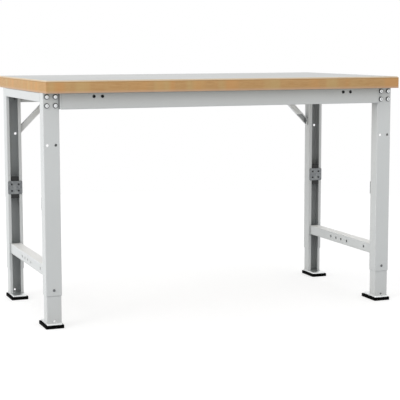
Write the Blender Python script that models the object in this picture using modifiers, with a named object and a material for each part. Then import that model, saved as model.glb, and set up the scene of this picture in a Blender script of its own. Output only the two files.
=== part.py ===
"""Height-adjustable workbench: multiplex top on a sheet-steel frame with four telescopic legs.

Metres, +Z up. The origin is on the floor under the middle of the top, +X runs to the right
along the bench and -Y points to its front.
"""

import math

import bmesh
import bpy
from mathutils import Matrix, Vector

# Overall sizes
BENCH_LENGTH = 1.250
BENCH_DEPTH = 0.700
BENCH_HEIGHT = 0.795
TOUCH_GAP = 0.0003

# Top
TOP_THICKNESS = 0.040
SURFACE_THICKNESS = 0.0015
TOP_CHAMFER = 0.004

# Legs: an outer and an inner lipped channel
SHEET = 0.0015
COLUMN_WIDTH = 0.053
COLUMN_DEPTH = 0.042
COLUMN_LIP = 0.011
COLUMN_BEND = 0.0025
COLUMN_END_HEIGHT = 0.106
COLUMN_INSET = 0.001
FRONT_SETBACK = 0.050
REAR_SETBACK = 0.080
TELESCOPE_GAP = 0.00035
LIP_STEP = 0.00085
INNER_TOP_HEIGHT = 0.440

# Feet: a steel plate half sunk in a rubber tray with a rim
PAD_BASE = 0.0085
PAD_RIM_HEIGHT = 0.011
PAD_RIM_WIDTH = 0.005
PAD_CORNER = 0.003
PAD_SIDE = 0.0035
PAD_TOE = 0.009
PAD_HEEL = 0.047
FOOT_THICKNESS = 0.0072
FOOT_HOLE_RADIUS = 0.0035
FOOT_HOLE_RISE = 0.0065

# Clamps at the upper end of the inner columns
CLAMP_PLATE_INSET = 0.0005
CLAMP_PLATE_HEIGHT = 0.047
CLAMP_PLATE_THICKNESS = 0.003
CLAMP_PLATE_MIDDLE = 0.400
CLAMP_BLOCK_HEIGHT = 0.076
CLAMP_BLOCK_THICKNESS = 0.011
CLAMP_SIDE_GAP = 0.0008

# Beams along the front and the back
BEAM_HEIGHT = 0.052
BEAM_DEPTH = 0.040
BEAM_SHEET = 0.002
BEAM_LIP = 0.010
BEAM_BEND = 0.003
BEAM_PROUD = 0.009
BEAM_END_GAP = 0.007
BEAM_HOLE_OFFSET = 0.445
BEAM_HOLE_DROP = 0.0125
BEAM_HOLE_SPACING = 0.028
BEAM_HOLE_RADIUS = 0.0045

# Rails between a front and a rear leg
TOP_RAIL_HEIGHT = 0.030
TOP_RAIL_FLANGE = 0.030
TOP_RAIL_INSET = 0.0005
LOW_RAIL_WIDTH = 0.040
LOW_RAIL_HEIGHT = 0.035
LOW_RAIL_FLOOR = 0.163
LOW_RAIL_HOLES = (0.067, 0.026, -0.014, -0.059, -0.188)
LOW_RAIL_HOLE_RADIUS = 0.0055
RAIL_SHEET = 0.002
RAIL_BEND = 0.003
RAIL_LIP = 0.007
END_PLATE_INSET = 0.0015
END_PLATE_THICKNESS = 0.003
BRACKET_SIDE_GAP = 0.002
BRACKET_THICKNESS = 0.004
TONGUE_SIDE_GAP = 0.0025

# Diagonal braces in the rear plane: square tubes, opened at the foot for the bolt inside them
BRACE_WIDTH = 0.018
BRACE_DEPTH = 0.018
BRACE_SHEET = 0.002
BRACE_RISE = 0.0987
BRACE_INSET = 0.018
BRACE_END_WALL = 0.003
BRACE_ACCESS_LENGTH = 0.027
BRACE_ACCESS_DEPTH = 0.012
BRACE_ACCESS_LEDGE = 0.0008
BRACE_TAB_OVER = 0.012
BRACE_TAB_BEYOND = 0.036
BRACE_BOLT_OFFSET = 0.025
BRACE_TAB_WIDTH = 0.026
BRACE_TAB_THICKNESS = 0.003

# Fasteners
CORNER_SCREW_SPACING = 0.028
CORNER_SCREW_DROP = 0.012
SCREW_RADIUS = 0.004
SCREW_HEAD_RADIUS = 0.008
SCREW_HEAD_HEIGHT = 0.0045
SCREW_GRIP = 0.009
SOCKET_RADIUS = 0.0028
SOCKET_DEPTH = 0.0025
SIDE_HOLE_DROP = 0.165
SIDE_HOLE_RADIUS = 0.0045
LOCK_SCREW_RISE = 0.018
LOCK_SCREW_RADIUS = 0.0025
LOCK_HEAD_RADIUS = 0.0042
LOCK_HEAD_HEIGHT = 0.0025
LOCK_SOCKET_RADIUS = 0.0014
LOCK_SOCKET_DEPTH = 0.0015
HEAD_TAPER = 0.72
BOLT_HEAD_RADIUS = 0.0075
BOLT_HEAD_HEIGHT = 0.0053
BOLT_GRIP = 0.012
LEG_BOLT_RADIUS = 0.003
LEG_BOLT_HEAD_RADIUS = 0.0055
LEG_BOLT_HEAD_HEIGHT = 0.004
LEG_BOLT_GRIP = 0.009
LEG_BOLT_LIFT = 0.002
FIT_GAP = 0.0003
ROUND_SIDES = 24
HOLE_SIDES = 20

# Sizes that follow from the ones above
TOP_UNDERSIDE = BENCH_HEIGHT - TOP_THICKNESS
FRAME_TOP = TOP_UNDERSIDE - TOUCH_GAP
COLUMN_X = BENCH_LENGTH / 2 - COLUMN_INSET - COLUMN_WIDTH / 2
FRONT_WEB_Y = -BENCH_DEPTH / 2 + FRONT_SETBACK
REAR_WEB_Y = BENCH_DEPTH / 2 - REAR_SETBACK
FOOT_UNDERSIDE = PAD_BASE + TOUCH_GAP
FOOT_TOP = FOOT_UNDERSIDE + FOOT_THICKNESS
INNER_FLANGE_X = COLUMN_X - COLUMN_WIDTH / 2
COLUMN_OPENING = COLUMN_WIDTH / 2 - COLUMN_LIP
INNER_OPENING = COLUMN_OPENING - LIP_STEP
INNER_HALF_WIDTH = COLUMN_WIDTH / 2 - SHEET - TELESCOPE_GAP
BEAM_HALF_LENGTH = INNER_FLANGE_X - BEAM_END_GAP
BEAM_UNDERSIDE = FRAME_TOP - BEAM_HEIGHT
BRACE_FOOT_HEIGHT = BEAM_UNDERSIDE - BRACE_RISE

PAINT = ("light_grey_paint", (0.60, 0.61, 0.60, 1.0), 0.45, 0.0)
ZINC = ("zinc_plated_steel", (0.55, 0.56, 0.57, 1.0), 0.35, 0.9)
GALVANISED = ("galvanised_steel", (0.30, 0.31, 0.31, 1.0), 0.5, 0.7)
RUBBER = ("black_rubber", (0.012, 0.012, 0.012, 1.0), 0.8, 0.0)
BLACK_PLASTIC = ("black_plastic", (0.015, 0.015, 0.016, 1.0), 0.5, 0.0)
BLACK_STEEL = ("black_oxide_steel", (0.02, 0.02, 0.02, 1.0), 0.4, 0.6)
MULTIPLEX = ("multiplex", (0.50, 0.33, 0.15, 1.0), 0.5, 0.0)
SURFACE = ("light_grey_laminate", (0.66, 0.67, 0.68, 1.0), 0.35, 0.0)


def clear_scene():
    for old in list(bpy.data.objects):
        bpy.data.objects.remove(old, do_unlink=True)


def new_collection(name):
    collection = bpy.data.collections.new(name)
    bpy.context.scene.collection.children.link(collection)
    return collection


def material(finish):
    name, colour, roughness, metallic = finish
    made = bpy.data.materials.get(name)
    if made is None:
        made = bpy.data.materials.new(name)
        made.use_nodes = True
        shader = made.node_tree.nodes["Principled BSDF"]
        shader.inputs["Base Color"].default_value = colour
        shader.inputs["Roughness"].default_value = roughness
        shader.inputs["Metallic"].default_value = metallic
    return made


def object_from(bm, name, finish, parent=None):
    """One named piece from a bmesh, in its own material, under an optional parent."""
    mesh = bpy.data.meshes.new(name)
    bm.to_mesh(mesh)
    bm.free()
    piece = bpy.data.objects.new(name, mesh)
    bench.objects.link(piece)
    if finish:
        mesh.materials.append(material(finish))
    piece.parent = parent
    return piece


def box_mesh(low, high):
    bm = bmesh.new()
    low = Vector(low)
    high = Vector(high)
    bmesh.ops.create_cube(bm, size=1.0)
    bmesh.ops.scale(bm, vec=high - low, verts=bm.verts)
    bmesh.ops.translate(bm, vec=(low + high) / 2, verts=bm.verts)
    return bm


def add_cylinder(bm, radius, start, end, sides=ROUND_SIDES, end_radius=None):
    """A closed cylinder or cone from one point to another."""
    start = Vector(start)
    end = Vector(end)
    turn = (end - start).to_track_quat("Z", "Y").to_matrix().to_4x4()
    bmesh.ops.create_cone(
        bm,
        cap_ends=True,
        segments=sides,
        radius1=radius,
        radius2=radius if end_radius is None else end_radius,
        depth=(end - start).length,
        matrix=Matrix.Translation((start + end) / 2) @ turn,
    )


def helper_from(bm, name, parent=None):
    """A shape that only cuts or joins: it stays in its own collection and is never shown."""
    mesh = bpy.data.meshes.new(name)
    bm.to_mesh(mesh)
    bm.free()
    helper = bpy.data.objects.new(name, mesh)
    helpers.objects.link(helper)
    helper.hide_render = True
    helper.display_type = "WIRE"
    helper.parent = parent
    return helper


def combine(piece, bm, operation):
    """Cuts a shape out of a piece, or joins it on."""
    name = f"{piece.name}_{operation.lower()}_{len(piece.modifiers)}"
    modifier = piece.modifiers.new(operation.title(), "BOOLEAN")
    modifier.operation = operation
    modifier.solver = "EXACT"
    modifier.object = helper_from(bm, name, piece.parent)


def drill(piece, holes):
    """Round holes, each given as radius, start and end."""
    bm = bmesh.new()
    for radius, start, end in holes:
        add_cylinder(bm, radius, start, end, HOLE_SIDES)
    combine(piece, bm, "DIFFERENCE")


def folded_sheet(name, finish, outline, start, run, thickness, bend, parent=None):
    """A folded sheet profile. The outline is its outer face, with the inside on the left."""
    bm = bmesh.new()
    start = Vector(start)
    run = Vector(run)
    corners = [bm.verts.new(start + Vector(point)) for point in outline]
    edges = [bm.edges.new(pair) for pair in zip(corners, corners[1:])]
    made = bmesh.ops.extrude_edge_only(bm, edges=edges)["geom"]
    moved = [part for part in made if isinstance(part, bmesh.types.BMVert)]
    bmesh.ops.translate(bm, vec=run, verts=moved)
    bmesh.ops.recalc_face_normals(bm, faces=bm.faces)
    first = Vector(outline[1]) - Vector(outline[0])
    if edges[0].link_faces[0].normal.dot(first.cross(run)) < 0:
        bmesh.ops.reverse_faces(bm, faces=bm.faces)
    piece = object_from(bm, name, finish, parent)
    fold = piece.modifiers.new("Bends", "BEVEL")
    fold.width = bend
    fold.segments = 3
    fold.limit_method = "ANGLE"
    wall = piece.modifiers.new("Sheet", "SOLIDIFY")
    wall.thickness = thickness
    wall.offset = -1.0
    wall.use_even_offset = True
    return piece


def leg_frame(name, side, rear):
    """An empty on a leg's slide axis: +Y runs from the leg's web into the bench."""
    frame = bpy.data.objects.new(name, None)
    bench.objects.link(frame)
    frame.empty_display_size = 0.05
    frame.location = (side * COLUMN_X, REAR_WEB_Y if rear else FRONT_WEB_Y, 0.0)
    frame.rotation_euler = (0.0, 0.0, math.pi if rear else 0.0)
    return frame


def channel_outline(half_width, near, far, opening):
    """A lipped channel seen from above, open towards +Y. The opening is half the gap in its lips."""
    return [
        (-opening, far, 0.0),
        (-half_width, far, 0.0),
        (-half_width, near, 0.0),
        (half_width, near, 0.0),
        (half_width, far, 0.0),
        (opening, far, 0.0),
    ]


def corner_screw_places():
    """Across and up, for the four screws in the top of a leg's web."""
    half = CORNER_SCREW_SPACING / 2
    upper = TOP_UNDERSIDE - CORNER_SCREW_DROP
    return [(u, z) for z in (upper, upper - CORNER_SCREW_SPACING) for u in (-half, half)]


def make_top():
    half_x = BENCH_LENGTH / 2
    half_y = BENCH_DEPTH / 2
    seam = BENCH_HEIGHT - SURFACE_THICKNESS
    low_chamfer = TOP_CHAMFER - SURFACE_THICKNESS
    bm = box_mesh((-half_x, -half_y, TOP_UNDERSIDE), (half_x, half_y, seam - TOUCH_GAP))
    middle = (TOP_UNDERSIDE + seam) / 2
    top_edges = [edge for edge in bm.edges if all(vert.co.z > middle for vert in edge.verts)]
    bmesh.ops.bevel(bm, geom=top_edges, offset=low_chamfer, segments=1, affect="EDGES")
    object_from(bm, "worktop_core", MULTIPLEX)

    edge_x = half_x - low_chamfer
    edge_y = half_y - low_chamfer
    bm = box_mesh((-edge_x, -edge_y, seam), (edge_x, edge_y, BENCH_HEIGHT))
    for vert in bm.verts:
        if vert.co.z > seam + SURFACE_THICKNESS / 2:
            vert.co.x -= math.copysign(SURFACE_THICKNESS, vert.co.x)
            vert.co.y -= math.copysign(SURFACE_THICKNESS, vert.co.y)
    object_from(bm, "worktop_surface", SURFACE)


def make_beam(name, rear):
    """A lipped channel along the bench, its open side to the inside, with a plate on each end."""
    outward = 1.0 if rear else -1.0
    web = REAR_WEB_Y + BEAM_PROUD if rear else FRONT_WEB_Y - BEAM_PROUD
    back = web - outward * BEAM_DEPTH
    upper = FRAME_TOP
    lower = BEAM_UNDERSIDE
    outline = [
        (0.0, back, upper - BEAM_LIP),
        (0.0, back, upper),
        (0.0, web, upper),
        (0.0, web, lower),
        (0.0, back, lower),
        (0.0, back, lower + BEAM_LIP),
    ]
    if rear:
        outline.reverse()
    start = (-BEAM_HALF_LENGTH, 0.0, 0.0)
    run = (2 * BEAM_HALF_LENGTH, 0.0, 0.0)
    beam = folded_sheet(name, PAINT, outline, start, run, BEAM_SHEET, BEAM_BEND)
    inset = BEAM_SHEET / 2
    near, far = sorted((web - outward * inset, back + outward * inset))
    for side in (-1.0, 1.0):
        inner = side * (BEAM_HALF_LENGTH - inset)
        outer = side * (INNER_FLANGE_X - TOUCH_GAP)
        low_x, high_x = sorted((inner, outer))
        plate = box_mesh((low_x, near, lower + inset), (high_x, far, upper - inset))
        combine(beam, plate, "UNION")
    z = TOP_UNDERSIDE - BEAM_HOLE_DROP
    before = web + outward * BEAM_SHEET
    behind = web - outward * 2 * BEAM_SHEET
    half = BEAM_HOLE_SPACING / 2
    across = [side * BEAM_HOLE_OFFSET + shift for side in (-1.0, 1.0) for shift in (-half, half)]
    drill(beam, [(BEAM_HOLE_RADIUS, (x, before, z), (x, behind, z)) for x in across])
    return beam


def at_leg(rear, depth):
    """The place along Y that lies a depth inside a front or rear leg's web."""
    return REAR_WEB_Y - depth if rear else FRONT_WEB_Y + depth


def leg_box(side, rear, half_width, depths, heights):
    """A box centred on a leg, between two depths from its web and two heights."""
    x = side * COLUMN_X
    near, far = sorted(at_leg(rear, depth) for depth in depths)
    return box_mesh((x - half_width, near, heights[0]), (x + half_width, far, heights[1]))


def make_top_rail(name, side):
    """The rail under the top on one side, with a bracket on each end that fills a leg's head."""
    middle = side * COLUMN_X
    outer = side * (COLUMN_X + COLUMN_WIDTH / 2 - TOP_RAIL_INSET)
    inner = outer - side * TOP_RAIL_FLANGE
    upper = FRAME_TOP
    lower = FRAME_TOP - TOP_RAIL_HEIGHT
    plate_face = COLUMN_DEPTH + TOUCH_GAP
    start_y = at_leg(False, plate_face + RAIL_SHEET / 2)
    end_y = at_leg(True, plate_face + RAIL_SHEET / 2)
    outline = [(inner, 0.0, upper), (outer, 0.0, upper), (outer, 0.0, lower), (inner, 0.0, lower)]
    if side < 0:
        outline.reverse()
    run = (0.0, end_y - start_y, 0.0)
    rail = folded_sheet(name, PAINT, outline, (0.0, start_y, 0.0), run, RAIL_SHEET, RAIL_BEND)
    inset = RAIL_SHEET / 2
    web_face = SHEET + TOUCH_GAP
    screws = corner_screw_places()
    bracket_foot = min(z for _, z in screws) - SCREW_HEAD_RADIUS
    plate_depths = (plate_face, plate_face + END_PLATE_THICKNESS)
    tongue_depths = (web_face + BRACKET_THICKNESS / 2, plate_face + END_PLATE_THICKNESS / 2)
    bracket_depths = (web_face, web_face + BRACKET_THICKNESS)
    plate_half = COLUMN_WIDTH / 2 - END_PLATE_INSET
    tongue_half = COLUMN_OPENING - TONGUE_SIDE_GAP
    bracket_half = COLUMN_WIDTH / 2 - SHEET - BRACKET_SIDE_GAP
    pieces = (
        (plate_half, plate_depths, (lower + inset, upper - inset)),
        (tongue_half, tongue_depths, (lower + 2 * inset, upper - 2 * inset)),
        (bracket_half, bracket_depths, (bracket_foot, upper - inset / 2)),
    )
    for rear in (False, True):
        for half_width, depths, heights in pieces:
            combine(rail, leg_box(side, rear, half_width, depths, heights), "UNION")
        web = at_leg(rear, 0.0)
        deep = at_leg(rear, web_face + 2 * BRACKET_THICKNESS)
        radius = SCREW_RADIUS + FIT_GAP
        drill(rail, [(radius, (middle + u, web, z), (middle + u, deep, z)) for u, z in screws])


def make_low_rail(name, side):
    """The rail near the floor on one side, with a plate on each end against a leg's lips."""
    middle = side * COLUMN_X
    half = LOW_RAIL_WIDTH / 2
    lower = LOW_RAIL_FLOOR
    upper = LOW_RAIL_FLOOR + LOW_RAIL_HEIGHT
    plate_face = COLUMN_DEPTH + TOUCH_GAP
    start_y = at_leg(False, plate_face + RAIL_SHEET / 2)
    end_y = at_leg(True, plate_face + RAIL_SHEET / 2)
    outline = [
        (middle - half + RAIL_LIP, 0.0, lower),
        (middle - half, 0.0, lower),
        (middle - half, 0.0, upper),
        (middle + half, 0.0, upper),
        (middle + half, 0.0, lower),
        (middle + half - RAIL_LIP, 0.0, lower),
    ]
    run = (0.0, end_y - start_y, 0.0)
    rail = folded_sheet(name, PAINT, outline, (0.0, start_y, 0.0), run, RAIL_SHEET, RAIL_BEND)
    depths = (plate_face, plate_face + END_PLATE_THICKNESS)
    heights = (lower + RAIL_SHEET / 2, upper - RAIL_SHEET / 2)
    plate_half = COLUMN_WIDTH / 2 - END_PLATE_INSET
    for rear in (False, True):
        combine(rail, leg_box(side, rear, plate_half, depths, heights), "UNION")
    frame_middle = (FRONT_WEB_Y + REAR_WEB_Y) / 2
    left = middle - LOW_RAIL_WIDTH
    right = middle + LOW_RAIL_WIDTH
    z = (lower + upper) / 2
    places = [frame_middle + offset for offset in LOW_RAIL_HOLES]
    drill(rail, [(LOW_RAIL_HOLE_RADIUS, (left, y, z), (right, y, z)) for y in places])


def make_outer_column(name, leg):
    outline = channel_outline(COLUMN_WIDTH / 2, 0.0, COLUMN_DEPTH, COLUMN_OPENING)
    start = (0.0, 0.0, COLUMN_END_HEIGHT)
    run = (0.0, 0.0, FRAME_TOP - COLUMN_END_HEIGHT)
    column = folded_sheet(name, PAINT, outline, start, run, SHEET, COLUMN_BEND, leg)
    near = -SHEET
    far = 2 * SHEET
    holes = [(SCREW_RADIUS + FIT_GAP, (u, near, z), (u, far, z)) for u, z in corner_screw_places()]
    half = CORNER_SCREW_SPACING / 2
    side_z = TOP_UNDERSIDE - SIDE_HOLE_DROP
    holes += [(SIDE_HOLE_RADIUS, (u, near, side_z), (u, far, side_z)) for u in (-half, half)]
    lock_z = COLUMN_END_HEIGHT + LOCK_SCREW_RISE
    holes.append((LOCK_SCREW_RADIUS + FIT_GAP, (0.0, near, lock_z), (0.0, far, lock_z)))
    drill(column, holes)
    return column


def make_inner_column(name, leg):
    near = SHEET + TELESCOPE_GAP
    far = COLUMN_DEPTH - SHEET - TELESCOPE_GAP
    outline = channel_outline(INNER_HALF_WIDTH, near, far, INNER_OPENING)
    foot = FOOT_TOP + TOUCH_GAP
    run = (0.0, 0.0, INNER_TOP_HEIGHT - foot)
    column = folded_sheet(name, PAINT, outline, (0.0, 0.0, foot), run, SHEET, COLUMN_BEND, leg)
    z = foot + FOOT_HOLE_RISE
    drill(column, [(FOOT_HOLE_RADIUS, (0.0, near - SHEET, z), (0.0, near + 2 * SHEET, z))])


def foot_box(margin, low, high):
    """A box under a leg, smaller all round than the pad's outline by a margin."""
    half = COLUMN_WIDTH / 2 + PAD_SIDE - margin
    toe = -PAD_TOE + margin
    heel = COLUMN_DEPTH + PAD_HEEL - margin
    return box_mesh((-half, toe, low), (half, heel, high))


def make_foot(leg_name, leg):
    """The rubber tray that stands on the floor and the steel plate in it."""
    bm = foot_box(0.0, 0.0, PAD_RIM_HEIGHT)
    rises = {edge: abs(edge.verts[0].co.z - edge.verts[1].co.z) for edge in bm.edges}
    uprights = [edge for edge in bm.edges if rises[edge] > PAD_RIM_HEIGHT / 2]
    bmesh.ops.bevel(bm, geom=uprights, offset=PAD_CORNER, segments=3, affect="EDGES", profile=0.5)
    pad = object_from(bm, f"rubber_pad_{leg_name}", RUBBER, leg)
    combine(pad, foot_box(PAD_RIM_WIDTH, PAD_BASE, 2 * PAD_RIM_HEIGHT), "DIFFERENCE")
    plate = foot_box(PAD_RIM_WIDTH + TOUCH_GAP, FOOT_UNDERSIDE, FOOT_TOP)
    object_from(plate, f"foot_plate_{leg_name}", ZINC, leg)


def make_clamp(leg_name, leg):
    """The plate over the outer column's lips and the block that slides between them."""
    face = COLUMN_DEPTH + TOUCH_GAP
    half = COLUMN_WIDTH / 2 - CLAMP_PLATE_INSET
    low = CLAMP_PLATE_MIDDLE - CLAMP_PLATE_HEIGHT / 2
    high = CLAMP_PLATE_MIDDLE + CLAMP_PLATE_HEIGHT / 2
    bm = box_mesh((-half, face, low), (half, face + CLAMP_PLATE_THICKNESS, high))
    object_from(bm, f"clamp_plate_{leg_name}", GALVANISED, leg)

    wide = INNER_HALF_WIDTH - SHEET - CLAMP_SIDE_GAP
    narrow = INNER_OPENING - CLAMP_SIDE_GAP
    shoulder = COLUMN_DEPTH - 2 * SHEET - TELESCOPE_GAP - TOUCH_GAP
    low = CLAMP_PLATE_MIDDLE - CLAMP_BLOCK_HEIGHT / 2
    section = [
        (-wide, shoulder - CLAMP_BLOCK_THICKNESS),
        (wide, shoulder - CLAMP_BLOCK_THICKNESS),
        (wide, shoulder),
        (narrow, shoulder),
        (narrow, face - TOUCH_GAP),
        (-narrow, face - TOUCH_GAP),
        (-narrow, shoulder),
        (-wide, shoulder),
    ]
    bm = bmesh.new()
    ring = [bm.verts.new((u, v, low)) for u, v in section]
    base = bm.faces.new(ring)
    raised = bmesh.ops.extrude_face_region(bm, geom=[base])["geom"]
    moved = [part for part in raised if isinstance(part, bmesh.types.BMVert)]
    bmesh.ops.translate(bm, vec=(0.0, 0.0, CLAMP_BLOCK_HEIGHT), verts=moved)
    bmesh.ops.recalc_face_normals(bm, faces=bm.faces)
    object_from(bm, f"clamp_block_{leg_name}", BLACK_PLASTIC, leg)


def socket_screw(name, finish, leg, place, shank, head, recess):
    """A round-headed screw in a leg's web. Shank, head and socket are each a radius and a length."""
    radius, grip = shank
    head_radius, head_height = head
    socket_radius, socket_depth = recess
    place = Vector(place)
    outward = Vector((0.0, -1.0, 0.0))
    seat = place + outward * TOUCH_GAP
    crown = seat + outward * head_height
    bm = bmesh.new()
    add_cylinder(bm, head_radius, seat, crown, ROUND_SIDES, end_radius=head_radius * HEAD_TAPER)
    screw = object_from(bm, name, finish, leg)
    stem = bmesh.new()
    add_cylinder(stem, radius, seat + outward * head_height / 2, place - outward * grip, HOLE_SIDES)
    combine(screw, stem, "UNION")
    socket = bmesh.new()
    depth = outward * socket_depth
    add_cylinder(socket, socket_radius, crown + depth, crown - depth, 6)
    combine(screw, socket, "DIFFERENCE")
    screw.data.shade_smooth()


def hexagon_bolt(name, place, outward, shank, head):
    """A hexagon-headed bolt. The place is where its axis meets the face under the head."""
    radius, grip = shank
    head_radius, head_height = head
    place = Vector(place)
    outward = Vector(outward)
    seat = place + outward * TOUCH_GAP
    bm = bmesh.new()
    add_cylinder(bm, head_radius, seat, seat + outward * head_height, 6)
    bolt = object_from(bm, name, ZINC)
    stem = bmesh.new()
    middle = seat + outward * head_height / 2
    add_cylinder(stem, radius, middle, place - outward * grip, HOLE_SIDES)
    combine(bolt, stem, "UNION")


def make_leg(leg_name, side, rear):
    leg = leg_frame(f"leg_axis_{leg_name}", side, rear)
    outer = make_outer_column(f"outer_column_{leg_name}", leg)
    make_inner_column(f"inner_column_{leg_name}", leg)
    make_foot(leg_name, leg)
    make_clamp(leg_name, leg)
    shank = (SCREW_RADIUS, SCREW_GRIP)
    head = (SCREW_HEAD_RADIUS, SCREW_HEAD_HEIGHT)
    recess = (SOCKET_RADIUS, SOCKET_DEPTH)
    for number, (u, z) in enumerate(corner_screw_places(), start=1):
        name = f"corner_screw_{leg_name}_{number}"
        socket_screw(name, ZINC, leg, (u, 0.0, z), shank, head, recess)
    shank = (LOCK_SCREW_RADIUS, SHEET)
    head = (LOCK_HEAD_RADIUS, LOCK_HEAD_HEIGHT)
    recess = (LOCK_SOCKET_RADIUS, LOCK_SOCKET_DEPTH)
    lock_place = (0.0, 0.0, COLUMN_END_HEIGHT + LOCK_SCREW_RISE)
    socket_screw(f"lock_screw_{leg_name}", BLACK_STEEL, leg, lock_place, shank, head, recess)
    return outer


def prism_xz(points, near, far):
    """An outline in the X-Z plane, given a depth along Y."""
    bm = bmesh.new()
    ring = [bm.verts.new((x, near, z)) for x, z in points]
    base = bm.faces.new(ring)
    raised = bmesh.ops.extrude_face_region(bm, geom=[base])["geom"]
    moved = [part for part in raised if isinstance(part, bmesh.types.BMVert)]
    bmesh.ops.translate(bm, vec=(0.0, far - near, 0.0), verts=moved)
    bmesh.ops.recalc_face_normals(bm, faces=bm.faces)
    return bm


def brace_strip(side, below, above, foot_x, head_z):
    """A strip at 45 degrees from a leg up to the beam, reaching below and above the brace's axis."""
    foot_z = BRACE_FOOT_HEIGHT + INNER_FLANGE_X - foot_x
    head_x = INNER_FLANGE_X + BRACE_FOOT_HEIGHT - head_z
    slant = math.sqrt(2.0)
    lower = [(foot_x, foot_z - below * slant), (foot_x, foot_z + above * slant)]
    upper = [(head_x + above * slant, head_z), (head_x - below * slant, head_z)]
    return [(side * x, z) for x, z in lower + upper]


def make_brace(side_name, side, rear_column, rear_beam):
    """A tubular brace, closed by a wall at the leg and by a plate under the beam.

    The same part serves on both sides, turned round: its foot is open to the front on the right
    and to the back on the left.
    """
    middle = REAR_WEB_Y - BRACE_INSET
    near = middle - BRACE_DEPTH / 2
    far = middle + BRACE_DEPTH / 2
    leg_face = INNER_FLANGE_X - TOUCH_GAP
    roof = BEAM_UNDERSIDE - TOUCH_GAP
    half = BRACE_WIDTH / 2
    inside = half - BRACE_SHEET
    outline = brace_strip(side, half, half, leg_face, roof - BRACE_TAB_THICKNESS / 2)
    brace = object_from(prism_xz(outline, near, far), f"brace_{side_name}", PAINT)
    hollow_foot = leg_face - BRACE_END_WALL
    hollow_head = roof - BRACE_TAB_THICKNESS - BRACE_SHEET
    hollow = brace_strip(side, inside, inside, hollow_foot, hollow_head)
    combine(brace, prism_xz(hollow, near + BRACE_SHEET, far - BRACE_SHEET), "DIFFERENCE")
    access_foot = hollow_foot - BRACE_ACCESS_LEDGE
    access_head = BRACE_FOOT_HEIGHT + INNER_FLANGE_X - access_foot + BRACE_ACCESS_LENGTH
    above = inside - BRACE_ACCESS_LEDGE
    access = brace_strip(side, half + BRACE_SHEET, above, access_foot, access_head)
    open_face, outward = (near, -1.0) if side > 0 else (far, 1.0)
    cut = sorted((open_face + outward * BRACE_SHEET, open_face - outward * BRACE_ACCESS_DEPTH))
    combine(brace, prism_xz(access, cut[0], cut[1]), "DIFFERENCE")

    tab_near = middle - BRACE_TAB_WIDTH / 2
    tab_far = middle + BRACE_TAB_WIDTH / 2
    head_x = INNER_FLANGE_X + BRACE_FOOT_HEIGHT - roof
    low_x, high_x = sorted((side * (head_x - BRACE_TAB_BEYOND), side * (head_x + BRACE_TAB_OVER)))
    roof_plate = box_mesh((low_x, tab_near, roof - BRACE_TAB_THICKNESS), (high_x, tab_far, roof))
    combine(brace, roof_plate, "UNION")

    leg_bolt_z = BRACE_FOOT_HEIGHT + INNER_FLANGE_X - hollow_foot + LEG_BOLT_LIFT
    leg_bolt = Vector((side * INNER_FLANGE_X, middle, leg_bolt_z))
    across = Vector((side * (BRACE_END_WALL + 2 * SHEET), 0.0, 0.0))
    leg_hole = (LEG_BOLT_RADIUS + FIT_GAP, leg_bolt - across, leg_bolt + across)
    drill(brace, [leg_hole])
    ends = [rear_leg_place(side, point) for point in leg_hole[1:]]
    drill(rear_column, [(leg_hole[0], ends[0], ends[1])])
    leg_seat = (side * hollow_foot, middle, leg_bolt_z)
    shank = (LEG_BOLT_RADIUS, LEG_BOLT_GRIP)
    head = (LEG_BOLT_HEAD_RADIUS, LEG_BOLT_HEAD_HEIGHT)
    hexagon_bolt(f"brace_bolt_foot_{side_name}", leg_seat, (-side, 0.0, 0.0), shank, head)

    beam_bolt = Vector((side * (head_x - BRACE_BOLT_OFFSET), middle, BEAM_UNDERSIDE))
    upward = Vector((0.0, 0.0, BRACE_TAB_THICKNESS + 2 * BEAM_SHEET))
    beam_hole = (SCREW_RADIUS + FIT_GAP, beam_bolt - upward, beam_bolt + upward)
    drill(brace, [beam_hole])
    drill(rear_beam, [beam_hole])
    beam_seat = (beam_bolt.x, middle, roof - BRACE_TAB_THICKNESS)
    shank = (SCREW_RADIUS, BOLT_GRIP)
    head = (BOLT_HEAD_RADIUS, BOLT_HEAD_HEIGHT)
    hexagon_bolt(f"brace_bolt_head_{side_name}", beam_seat, (0.0, 0.0, -1.0), shank, head)


def rear_leg_place(side, point):
    """A place in the bench, given in a rear leg's own frame."""
    return Vector((side * COLUMN_X - point[0], REAR_WEB_Y - point[1], point[2]))


clear_scene()
bench = new_collection("workbench")
helpers = new_collection("helpers")
make_top()
make_beam("front_beam", rear=False)
rear_beam = make_beam("rear_beam", rear=True)
columns = {}
for side_name, side in (("left", -1.0), ("right", 1.0)):
    make_top_rail(f"top_rail_{side_name}", side)
    make_low_rail(f"low_rail_{side_name}", side)
    for end_name, rear in (("front", False), ("rear", True)):
        leg_name = f"{end_name}_{side_name}"
        columns[leg_name] = make_leg(leg_name, side, rear)
    make_brace(side_name, side, columns[f"rear_{side_name}"], rear_beam)
bpy.context.view_layer.update()
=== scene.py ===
import math

import bmesh
import bpy
from mathutils import Matrix, Vector


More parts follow.
